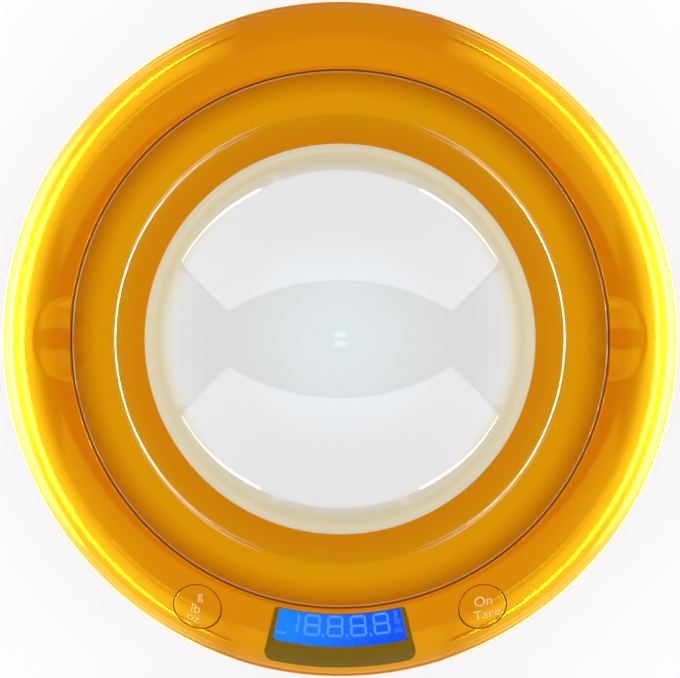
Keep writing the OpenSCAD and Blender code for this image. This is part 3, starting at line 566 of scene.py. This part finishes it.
DIMPLE = dict(ball_r=22.0, centre_r=SEAM_R + 3.7, centre_z=LIP_Z - 5 + 22, blend=0.9)
THUMB = dict(ball_r=12.4, centre_r=SEAM_R, centre_z=LIP_Z - 5 + 12.4, blend=0.9)
DENSE = [(-17, 17), (163, 197)]
DIMPLE_LOW, DIMPLE_RISE = 63.5, 5.5
FLANGE_R = 76
FLANGE = sorted((p[0], p[1]) for p in bowl_line() if p[0] > FLANGE_R - 0.5)


def ring_shift(x, y, r, z):
    """The ring's dimples, which fade out below the crown"""
    if r < LIP_R - 1:
        return np.zeros_like(x)
    keep = np.clip((z - DIMPLE_LOW) / DIMPLE_RISE, 0, 1)
    return keep * dip(x, y, float(crown_z(max(r, LIP_R))), **DIMPLE)


def bowl_shift(x, y, r, z):
    """The dimples in the bowl's flange, a little shallower on its underside"""
    if r < FLANGE_R:
        return np.zeros_like(x)
    top = float(np.interp(r, [p[0] for p in FLANGE], [p[1] for p in FLANGE]))
    keep = 1.0 if top - z < 3 else 0.7
    return keep * dip(x, y, top, **THUMB)


# The body's ring and well

def make_ring():
    """The ring and its well in one turned piece, with its window, button and spacer openings cut"""
    crown = ring_line()[::-1]
    well = well_line()[::-1]
    lip = round_corner((LIP_R, LIP_Z - 2), (LIP_R, LIP_Z), crown[1], 0.45)
    under = [p for p in ring_line(WALL)[::-1] if p[0] > LIP_R + WELL_WALL + 0.05]
    meet = (LIP_R + WELL_WALL, float(under[0][1]) + 0.02)
    outer_well = [p for p in well_line(WELL_WALL) if p[1] < meet[1] - 0.05]
    profile = ([(0, WELL_Z)] + well + lip + [p for p in crown if p[0] > lip[-1][0] + 0.05]
               + under[::-1] + [meet] + outer_well + [(0, WELL_Z - WELL_WALL)])
    ring = lathe("body_ring", profile, round_angles(DENSE), ring_shift)
    cutters = [
        combine(slab("window_recess", WINDOW_T + 0.1, -1),
                [prism("edge", sector_outline(WINDOW_R0, WINDOW_R1, WINDOW_HALF, 1, 3, 0.1),
                       40, 90)], "INTERSECT"),
        combine(slab("view", 13, 1.2),
                [prism("edge", sector_outline(VIEW_R0, VIEW_R1, VIEW_HALF, 0.5, 1.5), 40, 90)],
                "INTERSECT"),
        block("spacer_hole", (15.7, -7.15, 15), (37.3, 7.15, 25))]
    for angle in BUTTON_ANGLES.values():
        cutters.append(place(prism("button_hole", disc_outline(BUTTON_R + 0.35), -4.2, 4),
                             on_ring(angle)))
    combine(ring, cutters, "DIFFERENCE")
    return mount(soften(ring), "base", "body_plastic", ["upper_housing"])


def slab(name, deep, shallow, half=17.0):
    """The layer between two depths under the crown, at the front"""
    top, low = ring_line(shallow), ring_line(deep)[::-1]
    profile = [tuple(p) for p in top + low]
    angles = np.linspace(FRONT - half, FRONT + half, 120)
    points = [(r * cosd(a), r * sind(a), z) for a in angles for r, z in profile]
    m = len(profile)
    faces = [[i * m + k, i * m + (k + 1) % m, (i + 1) * m + (k + 1) % m, (i + 1) * m + k]
             for i in range(len(angles) - 1) for k in range(m)]
    faces += [list(range(m)), list(range((len(angles) - 1) * m, len(angles) * m))]
    return piece(name, points, faces)


def make_window():
    cover = combine(slab("window_cover", WINDOW_T, 0),
                    [prism("edge", sector_outline(WINDOW_R0, WINDOW_R1, WINDOW_HALF, 1, 3),
                           40, 90)], "INTERSECT")
    return mount(soften(cover), "base", "window", ["display_window"])


# The bowl

def make_bowl():
    """The orange bowl, with a ledge and a bed for its lining, a turned-down rim and a foot"""
    line = bowl_line()
    wall = [p for p in line if p[0] > LINER_R - 0.01]
    ledge = (LINER_R + LINER_T * sind(60), LINER_Z - LINER_T * cosd(60))
    bed = [p for p in bowl_line(LINER_T + 0.05) if p[1] < ledge[1]]
    under = [p for p in bowl_line(BOWL_T) if p[0] < BOWL_R - BOWL_T]
    rim = round_corner((BOWL_R, LIP_Z - 3), (BOWL_R, LIP_Z + 0.06), wall[2], 0.5)
    foot = [(FOOT_OUT, SEAT_Z), (FOOT_IN, SEAT_Z), (FOOT_IN, SEAT_Z + 3)]
    beside = [p for p in under if p[0] > 32.6]
    inside = [p for p in under if p[0] < 29.4]
    profile = ([(0, bed[-1][1])] + bed[::-1][1:] + [ledge] + wall[::-1][:-2] + rim[::-1]
               + [(BOWL_R, LIP_Z - 2), (BOWL_R, LIP_Z - 4), (BOWL_R - 2.2, LIP_Z - 4),
                  (BOWL_R - BOWL_T, LIP_Z - 3.4)]
               + beside + [(FOOT_OUT, SEAT_Z + 4.5)] + foot + inside[:-1]
               + [(0, under[-1][1])])
    profile = [(max(p[0], 0), p[1]) for p in profile]
    shell = lathe("bowl_body", profile, round_angles(DENSE), bowl_shift)
    return mount(soften(shell), "bowl", "bowl_plastic", ["bowl_shell"])


def make_lining():
    top = [p for p in bowl_line() if p[0] < LINER_R + 0.01]
    bed = [p for p in bowl_line(LINER_T) if p[0] < LINER_R + LINER_T * sind(60) + 0.01]
    bed = [p for p in bed if p[1] <= LINER_Z - LINER_T * cosd(60) + 0.01]
    profile = [(0, top[-1][1])] + top[::-1][1:] + bed[:-1] + [(0, bed[-1][1])]
    lining = lathe("bowl_lining", profile, round_angles())
    return mount(soften(lining), "bowl", "lining", ["bowl_liner"])


# Buttons

def skin_height(matrix, x, y):
    """Height of the crown over a point of a frame on the ring, found by halving"""
    lo, hi = -12.0, 6.0
    for _ in range(40):
        mid = (lo + hi) / 2
        p = matrix @ Vector((x * MM, y * MM, mid * MM)) / MM
        r = math.hypot(p.x, p.y)
        above = math.hypot(r - CROWN_AT, p.z - (CROWN_TOP - CROWN_R)) > CROWN_R
        lo, hi = (lo, mid) if above else (mid, hi)
    return (lo + hi) / 2


def make_button(name, angle):
    """A round cap that follows the ring, with a rounded edge and a stem below"""
    matrix = on_ring(angle)
    edge, turns, n = 0.4, 5, 120
    rings = [(BUTTON_R - edge) * i / 14 for i in range(1, 15)]
    rows = [[(0, 0, skin_height(matrix, 0, 0))]]
    for rho in rings:
        rows.append([(rho * cosd(360 * k / n), rho * sind(360 * k / n), None) for k in range(n)])
    rows[1:] = [[(x, y, skin_height(matrix, x, y)) for x, y, _ in row] for row in rows[1:]]
    rim = rows[-1]
    for i in range(1, turns + 1):
        a = 90 * i / turns
        rho = BUTTON_R - edge + edge * sind(a)
        rows.append([(rho * cosd(360 * k / n), rho * sind(360 * k / n),
                      rim[k][2] - edge * (1 - cosd(a))) for k in range(n)])
    rows.append([(x, y, z - 2.2) for x, y, z in rows[-1]])
    rows.append([(x * 2.4 / BUTTON_R, y * 2.4 / BUTTON_R, -3.4) for x, y, z in rows[-1]])
    rows.append([(x, y, -7.0) for x, y, z in rows[-1]])
    points, faces, start = [], [], []
    for row in rows:
        start.append(len(points))
        points += row
    faces += [[0, start[1] + k, start[1] + (k + 1) % n] for k in range(n)]
    for a, b in zip(start[1:], start[2:]):
        faces += [[a + k, b + k, b + (k + 1) % n, a + (k + 1) % n] for k in range(n)]
    faces.append([start[-1] + k for k in range(n)][::-1])
    cap = place(piece(f"{name}_cap", points, faces), matrix)
    return mount(soften(cap), f"{name}_button", "button_plastic", [f"{name}_button"])


def letters(name, text, size, where):
    """Plain lettering, laid on a surface by where, which turns x and y into a point in metres"""
    curve = bpy.data.curves.new(name, "FONT")
    curve.body, curve.size, curve.offset = text, size * MM, -0.004 * size * MM
    curve.align_x, curve.align_y = "CENTER", "CENTER"
    source = bpy.data.objects.new(name + "_text", curve)
    bpy.context.scene.collection.objects.link(source)
    bpy.context.view_layer.update()
    mesh = bpy.data.meshes.new_from_object(
        source.evaluated_get(bpy.context.evaluated_depsgraph_get()))
    bpy.data.objects.remove(source)
    bm = bmesh.new()
    bm.from_mesh(mesh)
    bmesh.ops.remove_doubles(bm, verts=bm.verts, dist=1e-6)
    bmesh.ops.triangulate(bm, faces=bm.faces)
    for _ in range(4):
        long_edges = [e for e in bm.edges if e.calc_length() > 0.6 * MM]
        if long_edges:
            bmesh.ops.subdivide_edges(bm, edges=long_edges, cuts=1)
            bmesh.ops.triangulate(bm, faces=bm.faces)
    for v in bm.verts:
        v.co = where(v.co.x / MM, v.co.y / MM)
    bm.to_mesh(mesh)
    bm.free()
    obj = bpy.data.objects.new(name, mesh)
    bpy.context.scene.collection.objects.link(obj)
    return obj


def label(name, text, angle, size, at, lean):
    """Print on a button, read from the front"""
    matrix = on_ring(angle)

    def where(x, y):
        x, y = x * cosd(lean) - y * sind(lean) + at[0], x * sind(lean) + y * cosd(lean) + at[1]
        x, y = x * cosd(angle) + y * sind(angle), y * cosd(angle) - x * sind(angle)
        return matrix @ (Vector((x, y, skin_height(matrix, x, y) + 0.03)) * MM)

    return letters(name, text, size, where)


# Display

def display_plane(x, y):
    """Height of the display's face over a point, in millimetres"""
    base = float(crown_z(DISPLAY_R)) - GLASS_DEPTH / cosd(DISPLAY_TILT)
    return base - (-y - DISPLAY_R) * math.tan(math.radians(DISPLAY_TILT))


SEGMENTS = {"a": (0, 1, 0), "g": (0, 0, 0), "d": (0, -1, 0), "f": (-0.5, 0, 1), "b": (0.5, 0, 1),
            "e": (-0.5, -1, 1), "c": (0.5, -1, 1)}
FIGURES = (("1", -16.4), ("8", -9.2), ("8", -1.6), ("8", 6.1), ("8", 13.8))
LIT = {"1": "bc", "8": "abcdefg"}
DIGIT_R, DIGIT_W, DIGIT_H, STROKE = 95.7, 4.7, 3.2, 0.4


def on_display(u, v, lift=0.08):
    """A point over the display: u runs to the right along the ring, and v inward"""
    r, a = DIGIT_R - v, FRONT + math.degrees(u / DIGIT_R)
    x, y = r * cosd(a), r * sind(a)
    return x, y, display_plane(x, y) + lift


def segment(kind, at):
    """Outline of one segment of a figure"""
    dx, dy, upright = SEGMENTS[kind]
    long = DIGIT_H if upright else DIGIT_W
    ends = (0, long) if upright else (-long / 2, long / 2)
    bar = [(ends[0] + 0.1, 0), (ends[0] + STROKE, STROKE), (ends[1] - STROKE, STROKE),
           (ends[1] - 0.1, 0), (ends[1] - STROKE, -STROKE), (ends[0] + STROKE, -STROKE)]
    bar = [(-q, p) if upright else (p, q) for p, q in bar]
    return [(at + dx * DIGIT_W + p, dy * DIGIT_H + q) for p, q in bar]


def make_digits():
    """Plain numerals that follow the ring"""
    marks = [segment(kind, at) for text, at in FIGURES for kind in LIT[text]]
    marks += [[(at + 0.45 * cosd(45 * k), 0.45 * sind(45 * k) - DIGIT_H) for k in range(8)]
              for at in (-5.5, 2.25, 10.0)]
    marks.append([(-20.6, -4.2), (-17.6, -4.2), (-17.6, -3.6), (-20.6, -3.6)])
    points, faces = [], []
    for outline in marks:
        n, s = len(outline), len(points)
        points += [on_display(u, v) for u, v in outline]
        points += [on_display(u, v, 0.02) for u, v in outline]
        faces += [[s + i for i in range(n)], [s + n + i for i in range(n)][::-1]]
        faces += [[s + i, s + n + i, s + n + (i + 1) % n, s + (i + 1) % n] for i in range(n)]
    return mount(piece("display_digits", points, faces), "base", "display", (),
                 "display_digit")


# Lower housing

def make_lower():
    """The tub, with a tongue inside the ring, screw bosses and a room for the battery cells"""
    lean, edge = 42.0, 6.0
    drop = BELLY_Z - PARTING - BASE_Z - edge * (1 - sind(lean))
    legs = [("turn", -lean, drop / sind(lean)), ("turn", lean - 90, edge)]
    start = (BODY_R, BELLY_Z - PARTING)
    outer, inner = run(start, -90, legs), run(start, -90, legs, -WALL)
    tongue = BODY_R - WALL - 0.3
    profile = ([(0, BASE_Z)] + outer[::-1] + [(tongue, BELLY_Z - PARTING), (tongue, BELLY_Z + 1.8),
               (tongue - 1.4, BELLY_Z + 1.8), (tongue - 1.4, BELLY_Z - 3)]
               + [p for p in inner if p[1] < BELLY_Z - 6] + [(0, FLOOR_Z)])
    tub = lathe("lower_shell", profile, round_angles())
    extra = [block("room", (-29, 54.05, BASE_Z + 0.3), (29, 81.95, 17)),
             block("room_edge", (-29, 54.05, BASE_Z + 0.2), (29, 82.45, 5.4))]
    holes = [block("cells", (-26, 55.55, 0), (26, 79.45, 15.5)),
             block("door_gap", (-28.3, 53.1, 0), (28.3, 81.75, 4))]
    for a in SCREW_ANGLES:
        spot = (SCREW_RING * cosd(a), SCREW_RING * sind(a))
        extra.append(prism("boss", disc_outline(BOSS_R, 40, spot), BASE_Z + 0.3, BOSS_TOP))
        holes.append(prism("well", disc_outline(BOSS_HOLE_R, 40, spot), 0, BOSS_HOLE_TOP))
    for x in CELL_SCREWS_X:
        holes.append(prism("screw_well", disc_outline(CELL_SCREW_R, 40, (x, 0)), 0,
                           CELL_SCREW_TOP))
    combine(tub, extra, "UNION")
    combine(tub, holes, "DIFFERENCE")
    return mount(soften(tub), "base", "body_plastic", ["lower_housing"])


# All the pieces

bowl = make_bowl()
make_lower()
outer = [make_ring(), make_window()]
outer += [make_button(name, angle) for name, angle in BUTTON_ANGLES.items()]
make_lining()
make_digits()
# Words on the buttons, each with its place, size and lean
LABELS = {"tare": (("On", (0.0, 2.3), 4.9, 8), ("Tare", (1.6, -2.4), 5.0, 12)),
          "unit": (("g", (1.2, 4.4), 4.3, 0), ("lb", (-0.6, -0.4), 4.8, -14),
                   ("oz", (-1.7, -3.9), 4.8, -24))}
for name, words in LABELS.items():
    for word, at, size, lean in words:
        mount(label(f"label_{word.lower()}", word, BUTTON_ANGLES[name], size, at, lean),
              f"{name}_button", "button_plastic", (), "print")
for word, v in (("g", 3.0), ("lb", 0.0), ("oz", -3.0)):
    mount(letters(f"unit_mark_{word}", word, 3.0,
                  lambda x, y, v=v: Vector(on_display(19.1 + x, v + y)) * MM),
          "base", "display", (), "display_mark")

for part in frame["record"]["subparts"]:
    node = frame["nodes"][part["node"]]
    node.data.materials.clear()
    node.data.materials.append(FINISHES[part["material_slot"]])


# Studio

def glow(name, strength, colour=(1, 1, 1), fade=None, middle=None):
    """Light of one strength. A strip's light may rise to its middle's strength and fall to TAIL
    past its ends. Any light may fade away between two heights."""
    paint = Paint(name)
    where, (x, y, z) = paint.place()
    light, bright = (paint.node("Emission", {}, {"Color": (*colour, 1), "Strength": value})
                     for value in (strength, middle or strength))
    if middle:
        light = paint.node("MixShader", {}, {0: abs(y / x).fade(0.9, 0.1), 1: light, 2: bright})
        low = paint.node("Emission", {}, {"Color": (*colour, 1), "Strength": TAIL})
        light = paint.node("MixShader", {}, {0: abs(y / x).fade(3.0, 1.3), 1: low, 2: light})
    if fade:
        clear = paint.node("BsdfTransparent")
        light = paint.node("MixShader", {}, {0: z.fade(*fade), 1: light, 2: clear})
    return paint.out(light)


def lamp(name, points, faces, strength, gloss_only=False, seen_by=(), **more):
    """A glowing sheet that the camera doesn't see. It may only make reflections, or only those of
    some pieces."""
    sheet = piece(name, points, faces)
    sheet.data.materials.append(glow(name, strength, **more))
    sheet.visible_camera = False
    sheet.visible_diffuse = sheet.visible_shadow = not gloss_only
    if seen_by:
        chosen = bpy.data.collections.new(name)
        for obj in seen_by:
            chosen.objects.link(obj)
        sheet.light_linking.receiver_collection = chosen
    return sheet


def grid(columns):
    """A sheet from its columns of points"""
    m = len(columns[0])
    points = [p for column in columns for p in column]
    faces = [[i * m + k, i * m + k + 1, (i + 1) * m + k + 1, (i + 1) * m + k]
             for i in range(len(columns) - 1) for k in range(m - 1)]
    return points, faces


def fan(side, inner=0.0, outer=1.0, span=(-1, 1), height=1200, n=12):
    """A large soft panel overhead, wider towards its far edge, or a part of it"""
    columns = []
    for i in range(n + 1):
        u = span[0] + (span[1] - span[0]) * i / n
        near = Vector((0.726 * u, side * (0.334 - 0.154 * u * u), 1)) * height
        far = Vector((1.64 * u, side * (1.54 - 0.734 * u * u), 1)) * height
        columns.append([tuple(near.lerp(far, share)) for share in (inner, outer)])
    return grid(columns)


def arc(middle, half, inner, outer, taper=0.0, sag=0.0, n=36):
    """A strip that bends round the scale between two edges, as (radius, height). It may narrow and
    sink towards its ends."""
    columns = []
    for i in range(n + 1):
        u = 2 * i / n - 1
        a, share = middle + half * u, 1 - taper * abs(u) ** 5
        edge = [far * share + near * (1 - share) for near, far in zip(inner, outer)]
        sunk = 1 - sag * abs(u) ** 3
        columns.append([(r * cosd(a), r * sind(a), z * sunk) for r, z in (inner, edge)])
    return grid(columns)


def dome(r, low, step=7.5):
    """Half a ball over the floor, down to a height a little below it"""
    rises = [step * k for k in range(int(90 / step) + 1)]
    return grid([[(r * cosd(rise) * cosd(step * i), r * cosd(rise) * sind(step * i),
                   r * sind(rise) if rise else low) for rise in rises]
                 for i in range(int(360 / step) + 1)])


# Strengths and colours of the lamps, and how far off they hang
PANEL, PANEL_EDGE, LENS, ROOM = 1.75, 9.0, 1.6, 0.2
SIDE, SHEEN, CORNER, TAIL = 2.2, 6.0, 2.4, 2.0
BACK_CARD, FRONT_CARD, ROUND = 1.2, 3.0, 0.9
COOL, PALE, CREAM = (0.92, 0.97, 1.1), (1, 1, 0.9), (0.75, 1, 0.62)
YELLOW, AMBER_LIGHT = (0.9, 1, 0.35), (1, 0.7, 0.05)
WALL_R, FAR_R, ROOM_R = 700, 2500, 5000

for side, word in ((1, "back"), (-1, "front")):
    lamp(f"panel_{word}", *fan(side), PANEL, colour=COOL)
    for end in (-1, 1):
        lamp(f"panel_edge_{word}_{end + 1}", *fan(side, 0.95, 1.0, (0.45 * end, end), 1195),
             PANEL_EDGE, True)

# Inner and outer edge, strength at the ends and in the middle, colour
STRIPS = {"low": ((235, 1), (440, 1), 8, 120, PALE),
          "high": ((WALL_R, 115), (WALL_R, 165), 45, 330, CREAM),
          "near": ((165, 1), (235, 1), 7, 18, PALE),
          "edge": ((114, 1), (165, 1), 5, 6, YELLOW),
          "far": ((440, 1), (WALL_R, 1), 6, 12, PALE),
          "wall": ((WALL_R, 1), (WALL_R, 115), 6, 12, PALE)}
for middle, word in ((0, "right"), (180, "left")):
    for name, (near_edge, far_edge, ends, strength, colour) in STRIPS.items():
        upright = near_edge[0] == WALL_R
        lamp(f"strip_{name}_{word}", *arc(middle, 72, near_edge, far_edge, 0.6, 0.6 * upright),
             ends, True, outer + [bowl] * upright, middle=strength, colour=colour)
    lamp(f"side_{word}", *arc(middle, 70, (2600, 670), (2600, 2670)), SIDE, fade=(700, 2500))
    lamp(f"sheen_{word}", *arc(middle, 70, (FAR_R, 330), (FAR_R, 2000)), SHEEN, True, outer,
         fade=(700, 1900), middle=SHEEN)

for side, word in ((1, "back"), (-1, "front")):
    oval = [(2 * x, y + side * 80, 3000) for x, y in disc_outline(57, 32)]
    lamp(f"lens_{word}", oval, [list(range(32))], LENS, True)
for middle in (45, 135, 225, 315):
    lamp(f"corner_{middle}", *arc(middle, 22, (2400, 1250), (2400, 3900), 0.6), CORNER, True,
         outer, fade=(1250, 3900))
for middle, word, strength in ((UP, "back", BACK_CARD), (FRONT, "front", FRONT_CARD)):
    lamp(f"sheen_{word}", *arc(middle, 20, (FAR_R, 5), (FAR_R, 1700)), strength, True, outer)
    lamp(f"card_{word}", *arc(middle, 55, (165, 0.7), (FAR_R - 1, 0.7)), strength, True, outer)
lamp("glow_round", *arc(0, 180, (113.5, 0.5), (165, 0.5), n=96), ROUND, True, outer,
     colour=AMBER_LIGHT)
# The dim room behind the lamps, which shows in reflections only
lamp("room", *dome(ROOM_R, -300), ROOM, True)


def light_path(paint):
    """Whether a ray comes from the camera, off a glossy surface or through a clear one"""
    rays = paint.tree.nodes.new("ShaderNodeLightPath")
    return [Value(paint, rays.outputs[n]) for n in
            ("Is Camera Ray", "Is Glossy Ray", "Is Transmission Ray")]


def floor_finish():
    """Pale, nearly white to the camera and in reflections, and it keeps the shadow"""
    paint = Paint("floor")
    camera, glossy, through = light_path(paint)
    where, _ = paint.place()
    grain = paint.noise(where, 40)
    pale = paint.mix(grain, (0.93, 0.93, 0.93), (0.96, 0.96, 0.96))
    plain = paint.node("BsdfDiffuse", {}, {"Color": paint.mix(camera, (0.6, 0.6, 0.6), pale)})
    white = paint.node("Emission", {}, {"Color": (1, 1, 1, 1), "Strength": 1.0})
    shown = camera.most(glossy).most(through) * 0.7
    return paint.out(paint.node("MixShader", {}, {0: shown, 1: plain, 2: white}))


FLOOR_HALF = 4000
floor = piece("floor", [(FLOOR_HALF * x, FLOOR_HALF * y, 0)
                        for x, y in ((-1, -1), (1, -1), (1, 1), (-1, 1))], [[0, 1, 2, 3]])
floor.data.materials.append(floor_finish())

world = bpy.data.worlds.new("studio")
bpy.context.scene.world = world
air = Paint("studio", world)
camera_ray, glossy_ray, through_ray = light_path(air)
dim = air.node("Background", {}, {"Color": (1, 1, 1, 1), "Strength": 0.2})
bright = air.node("Background", {}, {"Color": (1, 1, 1, 1), "Strength": 1.0})
shown = camera_ray.most(glossy_ray).most(through_ray)
air.out(air.node("MixShader", {}, {0: shown, 1: dim, 2: bright}), "World")

# The frame is 680 pixels wide, at 3 pixels a millimetre for what lies 60 mm over the floor
CAMERA_Z, AIM_Z, SENSOR = 6000, 60, 36
camera = bpy.data.cameras.new("camera")
camera.sensor_width = SENSOR
camera.lens = SENSOR * (CAMERA_Z - AIM_Z) / (680 / 3)
view = bpy.data.objects.new("camera", camera)
view.location = (0, 0, CAMERA_Z * MM)
bpy.context.scene.collection.objects.link(view)
bpy.context.scene.camera = view
bpy.context.scene.view_settings.view_transform = "Standard"
